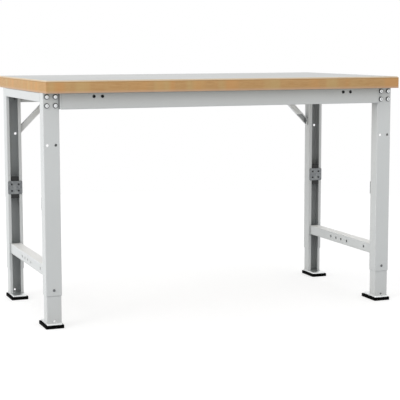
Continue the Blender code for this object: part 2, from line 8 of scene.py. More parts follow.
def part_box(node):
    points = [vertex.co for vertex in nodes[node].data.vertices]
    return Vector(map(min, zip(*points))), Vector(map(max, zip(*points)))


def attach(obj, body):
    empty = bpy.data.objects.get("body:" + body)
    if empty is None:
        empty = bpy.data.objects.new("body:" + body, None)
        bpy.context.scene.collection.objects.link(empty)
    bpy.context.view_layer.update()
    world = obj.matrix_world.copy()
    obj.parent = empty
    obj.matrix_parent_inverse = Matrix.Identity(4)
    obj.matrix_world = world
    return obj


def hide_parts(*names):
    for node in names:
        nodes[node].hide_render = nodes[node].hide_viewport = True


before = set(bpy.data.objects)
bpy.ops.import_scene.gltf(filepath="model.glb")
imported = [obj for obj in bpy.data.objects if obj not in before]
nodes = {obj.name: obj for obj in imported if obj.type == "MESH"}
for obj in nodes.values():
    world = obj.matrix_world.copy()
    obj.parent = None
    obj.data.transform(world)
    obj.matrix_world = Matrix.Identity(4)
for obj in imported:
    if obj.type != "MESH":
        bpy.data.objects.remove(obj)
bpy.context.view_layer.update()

legNames = ["front_left", "rear_left", "front_right", "rear_right"]
samePlace = 0.00001  # metres: points nearer than this count as one
seatGap = 0.0003  # what a head or a flange stands off the sheet under it, so that the faces don't mix
print("frame loaded:", len(nodes), "nodes")


# Small helpers for modelling in edit mode

def clearSelection():
    if bpy.context.mode != "OBJECT":
        bpy.ops.object.mode_set(mode="OBJECT")
    bpy.ops.object.select_all(action="DESELECT")


def adopt(name):
    # names the primitive that was just added and moves its place into its mesh
    piece = bpy.context.active_object
    piece.name = name
    piece.data.name = name
    bpy.ops.object.transform_apply(location=True, rotation=True, scale=True)
    return piece


def addBlock(name, low, high):
    clearSelection()
    low, high = Vector(low), Vector(high)
    bpy.ops.mesh.primitive_cube_add(size=1, location=(low + high) / 2)
    bpy.context.active_object.scale = high - low
    return adopt(name)


def addRound(name, radius, height, sides, place=(0, 0, 0)):
    # a round bar that stands on its place and points to the front, along -Y
    clearSelection()
    middle = Vector(place) + Vector((0, -height / 2, 0))
    bpy.ops.mesh.primitive_cylinder_add(vertices=sides, radius=radius, depth=height, location=middle,
                                        rotation=(math.pi / 2, 0, 0))
    return adopt(name)


def editParts(piece, kind, test):
    # enters edit mode with the faces or edges selected that pass the test
    clearSelection()
    piece.select_set(True)
    bpy.context.view_layer.objects.active = piece
    bpy.ops.object.mode_set(mode="EDIT")
    bpy.ops.mesh.select_mode(type="FACE" if kind == "faces" else "EDGE")
    bpy.ops.mesh.select_all(action="DESELECT")
    shape = bmesh.from_edit_mesh(piece.data)
    for part in getattr(shape, kind):
        if test(part):
            part.select_set(True)
    shape.select_flush_mode()
    bmesh.update_edit_mesh(piece.data)


def allAt(part, axis, value):
    return all(abs(vert.co[axis] - value) < samePlace for vert in part.verts)


def runsAlong(edge, axis):
    return abs(edge.verts[0].co[axis] - edge.verts[1].co[axis]) > 0.9 * edge.calc_length()


def bevelEdges(piece, test, width, segments, profile=0.5):
    editParts(piece, "edges", test)
    bpy.ops.mesh.bevel(offset=width, segments=segments, profile=profile, affect="EDGES")
    bpy.ops.object.mode_set(mode="OBJECT")


def stepFaces(piece, test, rim, move):
    # insets the faces by a rim, then moves what lies inside it
    editParts(piece, "faces", test)
    bpy.ops.mesh.inset(thickness=rim)
    bpy.ops.mesh.extrude_region_move(TRANSFORM_OT_translate={"value": move})
    bpy.ops.object.mode_set(mode="OBJECT")


def removePiece(piece):
    bpy.data.objects.remove(piece, do_unlink=True)


def cutWith(piece, cutter, operation="DIFFERENCE"):
    clearSelection()
    bpy.context.view_layer.objects.active = piece
    piece.select_set(True)
    cut = piece.modifiers.new("cut", "BOOLEAN")
    cut.operation = operation
    cut.object = cutter
    bpy.ops.object.modifier_apply(modifier=cut.name)
    removePiece(cutter)


def smoothByAngle(piece, degrees):
    clearSelection()
    piece.select_set(True)
    bpy.context.view_layer.objects.active = piece
    bpy.ops.object.shade_smooth_by_angle(angle=math.radians(degrees))


def copyPiece(source, name, change):
    piece = source.copy()
    piece.data = source.data.copy()
    piece.name = name
    piece.data.name = name
    piece.data.transform(change)
    bpy.context.scene.collection.objects.link(piece)
    return piece


def dress(piece, finish, body, slot, *replaced):
    piece.data.materials.clear()
    piece.data.materials.append(finish)
    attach(piece, body)
    if replaced:
        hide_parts(*replaced)


def legPlace(leg):
    # a leg's own frame: +Y runs from its outer face into the bench
    low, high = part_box(f"outer_column_{leg}")
    isRear = leg.startswith("rear")
    place = Vector(((low.x + high.x) / 2, high.y if isRear else low.y, 0))
    return Matrix.Translation(place) @ Matrix.Rotation(math.pi if isRear else 0, 4, "Z")


def boxInLeg(node, leg):
    # a node's box seen from its leg's own frame
    toLeg = legPlace(leg).inverted()
    corners = [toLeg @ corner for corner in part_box(node)]
    low = Vector([min(pair) for pair in zip(*corners)])
    high = Vector([max(pair) for pair in zip(*corners)])
    return low, high


# Small helpers for materials

def toLinear(hexColour):
    parts = [int(hexColour[place:place + 2], 16) / 255 for place in (1, 3, 5)]
    linear = [part / 12.92 if part <= 0.04045 else ((part + 0.055) / 1.055) ** 2.4 for part in parts]
    return (*linear, 1.0)


def perMm(size):
    # texture scale for details of this many millimetres, on coordinates in metres
    return 1000 / size


def addNode(tree, kind, settings, links=None):
    node = tree.nodes.new("ShaderNode" + kind)
    for key, value in settings.items():
        if isinstance(key, int) or key in node.inputs:
            node.inputs[key].default_value = value
        else:
            setattr(node, key, value)
    for key, source in (links or {}).items():
        tree.links.new(source, node.inputs[key])
    return node


def newFinish(name, constants):
    finish = bpy.data.materials.new(name)
    finish.use_nodes = True
    tree = finish.node_tree
    shader = tree.nodes["Principled BSDF"]
    for key, value in constants.items():
        shader.inputs[key].default_value = value
    coords = addNode(tree, "TexCoord", {}).outputs["Object"]
    return finish, tree, shader, coords


def roundEdges(tree, radiusMm):
    # normals that turn softly over every edge
    return addNode(tree, "Bevel", {"samples": 6, "Radius": radiusMm / 1000}).outputs[0]


def edgeMask(tree, rounded, reach):
    # 0 on the flats, and 1 where the soft normal has turned away as far as reach
    geometry = addNode(tree, "NewGeometry", {})
    facing = addNode(tree, "VectorMath", {"operation": "DOT_PRODUCT"},
                     {0: rounded, 1: geometry.outputs["Normal"]})
    mask = addNode(tree, "MapRange", {"From Min": 0.999, "From Max": reach},
                   {"Value": facing.outputs["Value"]})
    return mask.outputs[0]


def powderCoatedSteel(name, coat, cloudTone):
    # Polyester powder baked on steel sheet: light grey and satin, a faint orange peel, paler where it
    # thins over the bends, darker inside the channels by painted shade from ambient occlusion, almost
    # white on upward faces by painted top light, and floor dust low on the legs
    look = {"edge": "#E9EBEB", "edgeMm": 0.9, "edgeReach": 0.92, "thinMm": 9, "cloudMm": 260,
            "inside": "#A4A8A9", "paintedShadeReachMm": 50, "skyOpen": 0.86, "skyClosed": 0.2,
            "dust": "#B5B1A8", "dustMm": 16, "dustHeight": 0.10, "dustShare": 0.3,
            "paintedTopLight": "#F6F6F4", "paintedTopLightShare": 0.85, "levelFrom": 0.75, "levelTo": 0.95,
            "glossLow": 0.36, "glossHigh": 0.52, "peelMm": 1.7, "peelDepth": 0.00006}
    finish, tree, shader, coords = newFinish(name, {"Metallic": 0.0, "IOR": 1.5})
    cloud = addNode(tree, "TexNoise", {"Scale": perMm(look["cloudMm"]), "Detail": 4.0, "Roughness": 0.6},
                    {"Vector": coords})
    tone = addNode(tree, "Mix", {"data_type": "RGBA", 6: toLinear(coat), 7: toLinear(cloudTone)},
                   {0: cloud.outputs[0]})
    rounded = roundEdges(tree, look["edgeMm"])
    mask = edgeMask(tree, rounded, look["edgeReach"])
    thin = addNode(tree, "TexNoise", {"Scale": perMm(look["thinMm"]), "Detail": 5.0, "Roughness": 0.65},
                   {"Vector": coords})
    thinned = addNode(tree, "Math", {"operation": "MULTIPLY"}, {0: mask, 1: thin.outputs[0]})
    worn = addNode(tree, "Mix", {"data_type": "RGBA", 7: toLinear(look["edge"])},
                   {0: thinned.outputs[0], 6: tone.outputs[2]})
    # painted shade: the paint turns to the darker inside colour where ambient occlusion finds walls close
    sky = addNode(tree, "AmbientOcclusion", {"samples": 8, "Distance": look["paintedShadeReachMm"] / 1000})
    recess = addNode(tree, "MapRange", {"From Min": look["skyOpen"], "From Max": look["skyClosed"]},
                     {"Value": sky.outputs["AO"]})
    withPaintedShade = addNode(tree, "Mix", {"data_type": "RGBA", 7: toLinear(look["inside"])},
                     {0: recess.outputs[0], 6: worn.outputs[2]})
    height = addNode(tree, "SeparateXYZ", {}, {0: coords})
    low = addNode(tree, "MapRange", {"From Min": look["dustHeight"], "From Max": 0.0,
                                     "To Max": look["dustShare"]}, {"Value": height.outputs["Z"]})
    specks = addNode(tree, "TexNoise", {"Scale": perMm(look["dustMm"]), "Detail": 6.0, "Roughness": 0.7},
                     {"Vector": coords})
    dusty = addNode(tree, "Math", {"operation": "MULTIPLY"}, {0: low.outputs[0], 1: specks.outputs[0]})
    colour = addNode(tree, "Mix", {"data_type": "RGBA", 7: toLinear(look["dust"])},
                     {0: dusty.outputs[0], 6: withPaintedShade.outputs[2]})
    # painted top light: faces that look up are mixed towards near white, as if lit from above
    geometry = addNode(tree, "NewGeometry", {})
    normal = addNode(tree, "SeparateXYZ", {}, {0: geometry.outputs["Normal"]})
    paintedTopLightAmount = addNode(tree, "MapRange", {"From Min": look["levelFrom"], "From Max": look["levelTo"],
                                        "To Max": look["paintedTopLightShare"]}, {"Value": normal.outputs["Z"]})
    withPaintedTopLight = addNode(tree, "Mix", {"data_type": "RGBA", 7: toLinear(look["paintedTopLight"])},
                     {0: paintedTopLightAmount.outputs[0], 6: colour.outputs[2]})
    tree.links.new(withPaintedTopLight.outputs[2], shader.inputs["Base Color"])
    gloss = addNode(tree, "MapRange", {"To Min": look["glossLow"], "To Max": look["glossHigh"]},
                    {"Value": thin.outputs[0]})
    tree.links.new(gloss.outputs[0], shader.inputs["Roughness"])
    peel = addNode(tree, "TexNoise", {"Scale": perMm(look["peelMm"]), "Detail": 2.0, "Roughness": 0.45},
                   {"Vector": coords})
    bump = addNode(tree, "Bump", {"Strength": 0.35, "Distance": look["peelDepth"]},
                   {"Height": peel.outputs[0], "Normal": rounded})
    tree.links.new(bump.outputs[0], shader.inputs["Normal"])
    return finish


def platedSteel(name, bright, dull, roughness, spotMm):
    # Zinc-plated or blackened steel from the barrel: clouded from piece to piece, its high edges scuffed
    # pale, its grit drawn coarser than it is, so that it shows; roughness is the lowest and highest value
    look = {"scuff": "#C9CBCB", "edgeMm": 0.4, "edgeReach": 0.9, "gritMm": 0.7, "gritDepth": 0.00003}
    finish, tree, shader, coords = newFinish(name, {"Metallic": 1.0})
    cloud = addNode(tree, "TexNoise", {"Scale": perMm(spotMm), "Detail": 5.0, "Roughness": 0.6},
                    {"Vector": coords})
    tone = addNode(tree, "Mix", {"data_type": "RGBA", 6: toLinear(dull), 7: toLinear(bright)},
                   {0: cloud.outputs[0]})
    rounded = roundEdges(tree, look["edgeMm"])
    mask = edgeMask(tree, rounded, look["edgeReach"])
    scuff = addNode(tree, "Mix", {"data_type": "RGBA", 7: toLinear(look["scuff"])},
                    {0: mask, 6: tone.outputs[2]})
    tree.links.new(scuff.outputs[2], shader.inputs["Base Color"])
    low, high = roughness
    gloss = addNode(tree, "MapRange", {"To Min": low, "To Max": high}, {"Value": cloud.outputs[0]})
    tree.links.new(gloss.outputs[0], shader.inputs["Roughness"])
    grit = addNode(tree, "TexNoise", {"Scale": perMm(look["gritMm"]), "Detail": 3.0}, {"Vector": coords})
    bump = addNode(tree, "Bump", {"Strength": 0.25, "Distance": look["gritDepth"]},
                   {"Height": grit.outputs[0], "Normal": rounded})
    tree.links.new(bump.outputs[0], shader.inputs["Normal"])
    return finish


def zincWithPaintedHighlight():
    # Zinc-plated screw heads with a painted highlight: near white on the crown that looks out along
    # the screw, and painted shade on the rim round it, where the dome turns away
    look = {"crown": "#F1F3F4", "shade": "#DADCDD", "cloudMm": 3, "rim": "#5A5D5E", "crownFacing": 0.975,
            "rimFacing": 0.86, "glossCrown": 0.14, "glossRim": 0.36, "gritMm": 0.7, "gritDepth": 0.00002}
    finish, tree, shader, coords = newFinish("zincPaintedHighlight", {"Metallic": 1.0})
    geometry = addNode(tree, "NewGeometry", {})
    normal = addNode(tree, "SeparateXYZ", {}, {0: geometry.outputs["Normal"]})
    facing = addNode(tree, "Math", {"operation": "ABSOLUTE"}, {0: normal.outputs["Y"]})
    # painted highlight and shade: the colour goes from near white to dark as the normal turns from the
    # screw's axis
    rim = addNode(tree, "MapRange", {"From Min": look["crownFacing"], "From Max": look["rimFacing"]},
                  {"Value": facing.outputs[0]})
    cloud = addNode(tree, "TexNoise", {"Scale": perMm(look["cloudMm"]), "Detail": 4.0}, {"Vector": coords})
    crown = addNode(tree, "Mix", {"data_type": "RGBA", 6: toLinear(look["crown"]),
                                  7: toLinear(look["shade"])}, {0: cloud.outputs[0]})
    tone = addNode(tree, "Mix", {"data_type": "RGBA", 7: toLinear(look["rim"])},
                   {0: rim.outputs[0], 6: crown.outputs[2]})
    tree.links.new(tone.outputs[2], shader.inputs["Base Color"])
    gloss = addNode(tree, "MapRange", {"To Min": look["glossCrown"], "To Max": look["glossRim"]},
                    {"Value": rim.outputs[0]})
    tree.links.new(gloss.outputs[0], shader.inputs["Roughness"])
    grit = addNode(tree, "TexNoise", {"Scale": perMm(look["gritMm"]), "Detail": 3.0}, {"Vector": coords})
    bump = addNode(tree, "Bump", {"Strength": 0.2, "Distance": look["gritDepth"]},
                   {"Height": grit.outputs[0]})
    tree.links.new(bump.outputs[0], shader.inputs["Normal"])
    return finish


def galvanisedSteel():
    # Hot-dip galvanised plate: dull grey zinc crystals a few millimetres across, each with its own tone
    look = {"dark": "#73767A", "light": "#999C9C", "spangleMm": 7, "glossLow": 0.38, "glossHigh": 0.6,
            "edgeMm": 0.5, "gritMm": 1.1, "gritDepth": 0.00005}
    finish, tree, shader, coords = newFinish("galvanisedSteel", {"Metallic": 0.9})
    spangle = addNode(tree, "TexVoronoi", {"Scale": perMm(look["spangleMm"])}, {"Vector": coords})
    grey = addNode(tree, "RGBToBW", {}, {0: spangle.outputs["Color"]})
    tone = addNode(tree, "Mix", {"data_type": "RGBA", 6: toLinear(look["dark"]),
                                 7: toLinear(look["light"])}, {0: grey.outputs[0]})
    tree.links.new(tone.outputs[2], shader.inputs["Base Color"])
    gloss = addNode(tree, "MapRange", {"To Min": look["glossLow"], "To Max": look["glossHigh"]},
                    {"Value": grey.outputs[0]})
    tree.links.new(gloss.outputs[0], shader.inputs["Roughness"])
    grit = addNode(tree, "TexNoise", {"Scale": perMm(look["gritMm"]), "Detail": 3.0}, {"Vector": coords})
    bump = addNode(tree, "Bump", {"Strength": 0.3, "Distance": look["gritDepth"]},
                   {"Height": grit.outputs[0], "Normal": roundEdges(tree, look["edgeMm"])})
    tree.links.new(bump.outputs[0], shader.inputs["Normal"])
    return finish


def mouldedBlack(name, base, high, roughness, grainMm, grainDepth, specular):
    # Moulded black rubber or nylon: the mould's grain, drawn coarse enough to show, greyer and duller
    # where the edges are rubbed; roughness is the lowest and highest value
    look = {"edgeMm": 0.7, "edgeReach": 0.9, "rubMm": 11}
    finish, tree, shader, coords = newFinish(name, {"Metallic": 0.0, "IOR": 1.52,
                                                    "Specular IOR Level": specular})
    rounded = roundEdges(tree, look["edgeMm"])
    mask = edgeMask(tree, rounded, look["edgeReach"])
    rub = addNode(tree, "TexNoise", {"Scale": perMm(look["rubMm"]), "Detail": 5.0, "Roughness": 0.65},
                  {"Vector": coords})
    amount = addNode(tree, "Math", {"operation": "MULTIPLY"}, {0: mask, 1: rub.outputs[0]})
    tone = addNode(tree, "Mix", {"data_type": "RGBA", 6: toLinear(base), 7: toLinear(high)},
                   {0: amount.outputs[0]})
    tree.links.new(tone.outputs[2], shader.inputs["Base Color"])
    low, top = roughness
    gloss = addNode(tree, "MapRange", {"To Min": low, "To Max": top}, {"Value": rub.outputs[0]})
    tree.links.new(gloss.outputs[0], shader.inputs["Roughness"])
    grain = addNode(tree, "TexNoise", {"Scale": perMm(grainMm), "Detail": 2.0}, {"Vector": coords})
    bump = addNode(tree, "Bump", {"Strength": 0.4, "Distance": grainDepth},
                   {"Height": grain.outputs[0], "Normal": rounded})
    tree.links.new(bump.outputs[0], shader.inputs["Normal"])
    return finish


def birchMultiplex(edgeBottom, edgeTop):
    # Oiled birch multiplex: thin plies, in turn along and across, so the edge shows pale and brown
    # lines; dark glue lines between them, soft patches of warm and pale wood along the edge, a browner
    # line under the chamfer, a pinker lowest ply, and grain along the bench on the underside
    look = {"along": "#D0A873", "across": "#C29861", "plyMm": 2.1, "driftMm": 0.3, "wanderMm": 120,
            "streak": "#B78853", "streakMm": 24, "streakShare": 0.75, "streakStretch": 9.0,
            "glue": "#987548", "glueMm": 0.22, "glueShare": 0.7,
            "blockMm": 55, "blockStretch": 0.12, "warmBlock": "#D19A5E", "warmShare": 0.55,
            "paleBlock": "#C6AC76", "paleShare": 0.5,
            "topLine": "#A0743F", "topLineMm": 3.5, "topLineShare": 0.9,
            "lowBand": "#CFAE97", "lowBandMm": 9, "lowBandShare": 0.8,
            "veneer": "#D8CDB9", "veneerStreak": "#C6B59A", "veneerMm": 11, "veneerStretch": 0.09,
            "levelFrom": 0.9, "glossLow": 0.5, "glossHigh": 0.68, "fibreDepth": 0.0002}
    finish, tree, shader, coords = newFinish("birchMultiplex", {"Metallic": 0.0, "IOR": 1.45})
    place = addNode(tree, "SeparateXYZ", {}, {0: coords})
    wander = addNode(tree, "TexNoise", {"Scale": perMm(look["wanderMm"]), "Detail": 2.0},
                     {"Vector": coords})
    drift = addNode(tree, "MapRange", {"To Min": -look["driftMm"] / 1000, "To Max": look["driftMm"] / 1000},
                    {"Value": wander.outputs[0]})
    rise = addNode(tree, "Math", {"operation": "ADD"}, {0: place.outputs["Z"], 1: drift.outputs[0]})
    depth = addNode(tree, "Math", {"operation": "SUBTRACT", 1: edgeBottom}, {0: rise.outputs[0]})
    turn = addNode(tree, "Math", {"operation": "DIVIDE", 1: 2 * look["plyMm"] / 1000},
                   {0: depth.outputs[0]})
    part = addNode(tree, "Math", {"operation": "FRACT"}, {0: turn.outputs[0]})
    isAcross = addNode(tree, "Math", {"operation": "GREATER_THAN", 1: 0.5}, {0: part.outputs[0]})
    plies = addNode(tree, "Mix", {"data_type": "RGBA", 6: toLinear(look["along"]),
                                  7: toLinear(look["across"])}, {0: isAcross.outputs[0]})
    stretch = addNode(tree, "Mapping", {"Scale": (1.0, 1.0, look["streakStretch"])}, {"Vector": coords})
    fibre = addNode(tree, "TexNoise", {"Scale": perMm(look["streakMm"]), "Detail": 8.0, "Roughness": 0.62},
                    {"Vector": stretch.outputs[0]})
    fibreAmount = addNode(tree, "MapRange", {"From Min": 0.38, "From Max": 0.72,
                                             "To Max": look["streakShare"]}, {"Value": fibre.outputs[0]})
    streaked = addNode(tree, "Mix", {"data_type": "RGBA", 7: toLinear(look["streak"])},
                       {0: fibreAmount.outputs[0], 6: plies.outputs[2]})
    # folded twice over, a pair of plies gives the distance from the nearest glue line
    fold = addNode(tree, "Math", {"operation": "PINGPONG", 1: 0.25}, {0: part.outputs[0]})
    gluePart = look["glueMm"] / (2 * look["plyMm"])
    glueLine = addNode(tree, "MapRange", {"From Min": gluePart, "From Max": 0.0,
                                          "To Max": look["glueShare"]}, {"Value": fold.outputs[0]})
    glued = addNode(tree, "Mix", {"data_type": "RGBA", 7: toLinear(look["glue"])},
                    {0: glueLine.outputs[0], 6: streaked.outputs[2]})
    blockSpace = addNode(tree, "Mapping", {"Scale": (1.0, 1.0, look["blockStretch"])}, {"Vector": coords})
    blocks = addNode(tree, "TexNoise", {"Scale": perMm(look["blockMm"]), "Detail": 1.5, "Roughness": 0.5},
                     {"Vector": blockSpace.outputs[0]})
    blockParts = addNode(tree, "SeparateColor", {}, {0: blocks.outputs["Color"]})
    warmth = addNode(tree, "MapRange", {"From Min": 0.48, "From Max": 0.66, "To Max": look["warmShare"]},
                     {"Value": blockParts.outputs[0]})
    warmed = addNode(tree, "Mix", {"data_type": "RGBA", 7: toLinear(look["warmBlock"])},
                     {0: warmth.outputs[0], 6: glued.outputs[2]})
    paleness = addNode(tree, "MapRange", {"From Min": 0.5, "From Max": 0.66, "To Max": look["paleShare"]},
                       {"Value": blockParts.outputs[1]})
    blocked = addNode(tree, "Mix", {"data_type": "RGBA", 7: toLinear(look["paleBlock"])},
                      {0: paleness.outputs[0], 6: warmed.outputs[2]})
    topStart = edgeTop - look["topLineMm"] / 1000
    topLine = addNode(tree, "MapRange", {"From Min": topStart, "From Max": edgeTop,
                                         "To Max": look["topLineShare"]}, {"Value": rise.outputs[0]})
    lined = addNode(tree, "Mix", {"data_type": "RGBA", 7: toLinear(look["topLine"])},
                    {0: topLine.outputs[0], 6: blocked.outputs[2]})
    lowBand = addNode(tree, "MapRange", {"From Min": look["lowBandMm"] / 1000, "From Max": 0.0,
                                         "To Max": look["lowBandShare"]}, {"Value": depth.outputs[0]})
    edge = addNode(tree, "Mix", {"data_type": "RGBA", 7: toLinear(look["lowBand"])},
                   {0: lowBand.outputs[0], 6: lined.outputs[2]})
    grainSpace = addNode(tree, "Mapping", {"Scale": (look["veneerStretch"], 1.0, 1.0)}, {"Vector": coords})
    grain = addNode(tree, "TexNoise", {"Scale": perMm(look["veneerMm"]), "Detail": 7.0, "Roughness": 0.65,
                                       "Distortion": 0.4}, {"Vector": grainSpace.outputs[0]})
    veneer = addNode(tree, "Mix", {"data_type": "RGBA", 6: toLinear(look["veneer"]),
                                   7: toLinear(look["veneerStreak"])}, {0: grain.outputs[0]})
    geometry = addNode(tree, "NewGeometry", {})
    normal = addNode(tree, "SeparateXYZ", {}, {0: geometry.outputs["Normal"]})
    flatness = addNode(tree, "Math", {"operation": "ABSOLUTE"}, {0: normal.outputs["Z"]})
    isFace = addNode(tree, "Math", {"operation": "GREATER_THAN", 1: look["levelFrom"]},
                     {0: flatness.outputs[0]})
    colour = addNode(tree, "Mix", {"data_type": "RGBA"},
                     {0: isFace.outputs[0], 6: edge.outputs[2], 7: veneer.outputs[2]})
    tree.links.new(colour.outputs[2], shader.inputs["Base Color"])
    gloss = addNode(tree, "MapRange", {"To Min": look["glossLow"], "To Max": look["glossHigh"]},
                    {"Value": fibre.outputs[0]})
    tree.links.new(gloss.outputs[0], shader.inputs["Roughness"])
    bump = addNode(tree, "Bump", {"Strength": 0.3, "Distance": look["fibreDepth"]},
                   {"Height": fibre.outputs[0]})
    tree.links.new(bump.outputs[0], shader.inputs["Normal"])
    return finish


def sandedVeneer():
    # The chamfer cuts the two upper plies at a slant and is sanded: pale birch with long soft streaks
    look = {"pale": "#DFCDB2", "streak": "#CBB38F", "streakMm": 5, "streakStretch": 0.12, "glossLow": 0.45,
            "glossHigh": 0.62, "streakDepth": 0.0001}
    finish, tree, shader, coords = newFinish("sandedVeneer", {"Metallic": 0.0, "IOR": 1.45})
    space = addNode(tree, "Mapping", {"Scale": (look["streakStretch"], look["streakStretch"], 1.0)},
                    {"Vector": coords})
    streaks = addNode(tree, "TexNoise", {"Scale": perMm(look["streakMm"]), "Detail": 6.0, "Roughness": 0.6},
                      {"Vector": space.outputs[0]})
    tone = addNode(tree, "Mix", {"data_type": "RGBA", 6: toLinear(look["pale"]),
                                 7: toLinear(look["streak"])}, {0: streaks.outputs[0]})
    tree.links.new(tone.outputs[2], shader.inputs["Base Color"])
    gloss = addNode(tree, "MapRange", {"To Min": look["glossLow"], "To Max": look["glossHigh"]},
                    {"Value": streaks.outputs[0]})
    tree.links.new(gloss.outputs[0], shader.inputs["Roughness"])
    bump = addNode(tree, "Bump", {"Strength": 0.2, "Distance": look["streakDepth"]},
                   {"Height": streaks.outputs[0]})
    tree.links.new(bump.outputs[0], shader.inputs["Normal"])
    return finish


def lightLaminate():
    # High-pressure laminate: light grey, pressed with a fine matt grain; its bevelled edge is pale core
    look = {"sheet": "#C2C4C3", "cloud": "#BBBDBC", "cloudMm": 300, "speck": "#AFB1B1", "speckShare": 0.6,
            "core": "#DDCBAF", "levelFrom": 0.9, "grainMm": 0.9, "grainDepth": 0.00004, "glossLow": 0.34,
            "glossHigh": 0.5}
    finish, tree, shader, coords = newFinish("lightLaminate", {"Metallic": 0.0, "IOR": 1.5})
    cloud = addNode(tree, "TexNoise", {"Scale": perMm(look["cloudMm"]), "Detail": 5.0}, {"Vector": coords})
    tone = addNode(tree, "Mix", {"data_type": "RGBA", 6: toLinear(look["sheet"]),
                                 7: toLinear(look["cloud"])}, {0: cloud.outputs[0]})
    grain = addNode(tree, "TexNoise", {"Scale": perMm(look["grainMm"]), "Detail": 3.0}, {"Vector": coords})
    specks = addNode(tree, "MapRange", {"From Min": 0.56, "From Max": 0.7, "To Max": look["speckShare"]},
                     {"Value": grain.outputs[0]})
    speckled = addNode(tree, "Mix", {"data_type": "RGBA", 7: toLinear(look["speck"])},
                       {0: specks.outputs[0], 6: tone.outputs[2]})
    geometry = addNode(tree, "NewGeometry", {})
    normal = addNode(tree, "SeparateXYZ", {}, {0: geometry.outputs["True Normal"]})
    isEdge = addNode(tree, "Math", {"operation": "LESS_THAN", 1: look["levelFrom"]},
                     {0: normal.outputs["Z"]})
    colour = addNode(tree, "Mix", {"data_type": "RGBA", 7: toLinear(look["core"])},
                     {0: isEdge.outputs[0], 6: speckled.outputs[2]})
    tree.links.new(colour.outputs[2], shader.inputs["Base Color"])
    gloss = addNode(tree, "MapRange", {"To Min": look["glossLow"], "To Max": look["glossHigh"]},
                    {"Value": cloud.outputs[0]})
    tree.links.new(gloss.outputs[0], shader.inputs["Roughness"])
    bump = addNode(tree, "Bump", {"Strength": 0.2, "Distance": look["grainDepth"]},
                   {"Height": grain.outputs[0]})
    tree.links.new(bump.outputs[0], shader.inputs["Normal"])
    return finish


coreLow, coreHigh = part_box("worktop_core")
board = {"chamfer": 0.0025, "arris": 0.0012, "slopeFrom": 0.3, "slopeTo": 0.9}
paint = powderCoatedSteel("powderCoatedSteel", "#DADDDD", "#D2D5D5")
# painted light: the braces get a lighter copy of the same paint, for light that reaches them under the board
litBracePaint = powderCoatedSteel("braceCoatWithPaintedLight", "#F4F6F6", "#EEF0F0")
footZinc = platedSteel("brightZincPlate", "#F4F6F6", "#E6E9E9", (0.26, 0.4), 30)
zinc = platedSteel("zincPlatedSteel", "#9A9C9D", "#7E8182", (0.2, 0.34), 22)
highlightPaintedZinc = zincWithPaintedHighlight()
blackSteel = platedSteel("blackOxideSteel", "#2A2B2C", "#17181A", (0.3, 0.45), 9)
darkSteel = platedSteel("wornOxideSteel", "#77797A", "#5C5E60", (0.3, 0.45), 9)
galvanised = galvanisedSteel()
rubber = mouldedBlack("mouldedRubber", "#040404", "#161616", (0.75, 0.92), 0.8, 0.00008, 0.04)
# black nylon for the clamp blocks; its black also stands in for the shade bands in the column openings above
# and below the plates: painted shade
shadeBandNylon = mouldedBlack("nylonBlackForShadeBands", "#131415", "#363738", (0.4, 0.55), 0.5, 0.00004, 0.5)
multiplex = birchMultiplex(coreLow.z, coreHigh.z - board["chamfer"])
chamferWood = sandedVeneer()
laminate = lightLaminate()
print("finishes ready")


# The frame's own sheet steel, laminate and clamp blocks stay, and get their finish

nodeFinishes = {"front_beam": paint, "rear_beam": paint, "top_rail": paint, "low_rail": paint,
                "brace_left": litBracePaint, "brace_right": litBracePaint, "outer_column": paint,
                "inner_column": paint, "clamp_block": shadeBandNylon, "worktop_surface": laminate}
for start, finish in nodeFinishes.items():
    for name, node in nodes.items():
        if name.startswith(start):
            node.data.materials.clear()
            node.data.materials.append(finish)


# The board under the laminate: chamfered round its top, its lower edge and its corners eased

worktopBoard = addBlock("worktopBoard", coreLow, coreHigh)
bevelEdges(worktopBoard, lambda edge: allAt(edge, 2, coreHigh.z), board["chamfer"], 1)
bevelEdges(worktopBoard, lambda edge: allAt(edge, 2, coreLow.z) or runsAlong(edge, 2), board["arris"], 3)
dress(worktopBoard, multiplex, "bench_frame", "multiplex", "worktop_core")
worktopBoard.data.materials.append(chamferWood)
for face in worktopBoard.data.polygons:
    if board["slopeFrom"] < face.normal.z < board["slopeTo"]:
        face.material_index = 1
smoothByAngle(worktopBoard, 30)
print("board made")


# Button-head screws: a low dome with a hexagon socket and a plain shank

buttonHead = {"sides": 40, "crownShare": 0.86, "crownSteps": 5, "crownProfile": 0.55, "socketShare": 0.3,
              "socketDepthShare": 0.55}


def makeButtonHead(name, radius, height, shankRadius, shankLength):
    screw = addRound(name, radius, height, buttonHead["sides"])
    bevelEdges(screw, lambda edge: allAt(edge, 1, -height), height * buttonHead["crownShare"],
               buttonHead["crownSteps"], buttonHead["crownProfile"])
    stepFaces(screw, lambda face: allAt(face, 1, 0.0), radius - shankRadius, (0, shankLength, 0))
    depth = height * buttonHead["socketDepthShare"]
    toCorner = 2 / math.sqrt(3)  # a hexagon's corners lie this much further out than its flats
    socket = addRound("socketCutter", radius * buttonHead["socketShare"] * toCorner, 2 * depth, 6,
                      (0, -height + depth, 0))
    cutWith(screw, socket)
    smoothByAngle(screw, 40)
    return screw


def seatOnColumn(node, leg, turn=0.0):
    # the place of a screw on its column, where the solid that it replaces has its head
    low, high = boxInLeg(node, leg)
    seat = Matrix.Translation(((low.x + high.x) / 2, -seatGap, (low.z + high.z) / 2))
    return legPlace(leg) @ seat @ Matrix.Rotation(turn, 4, "Y")


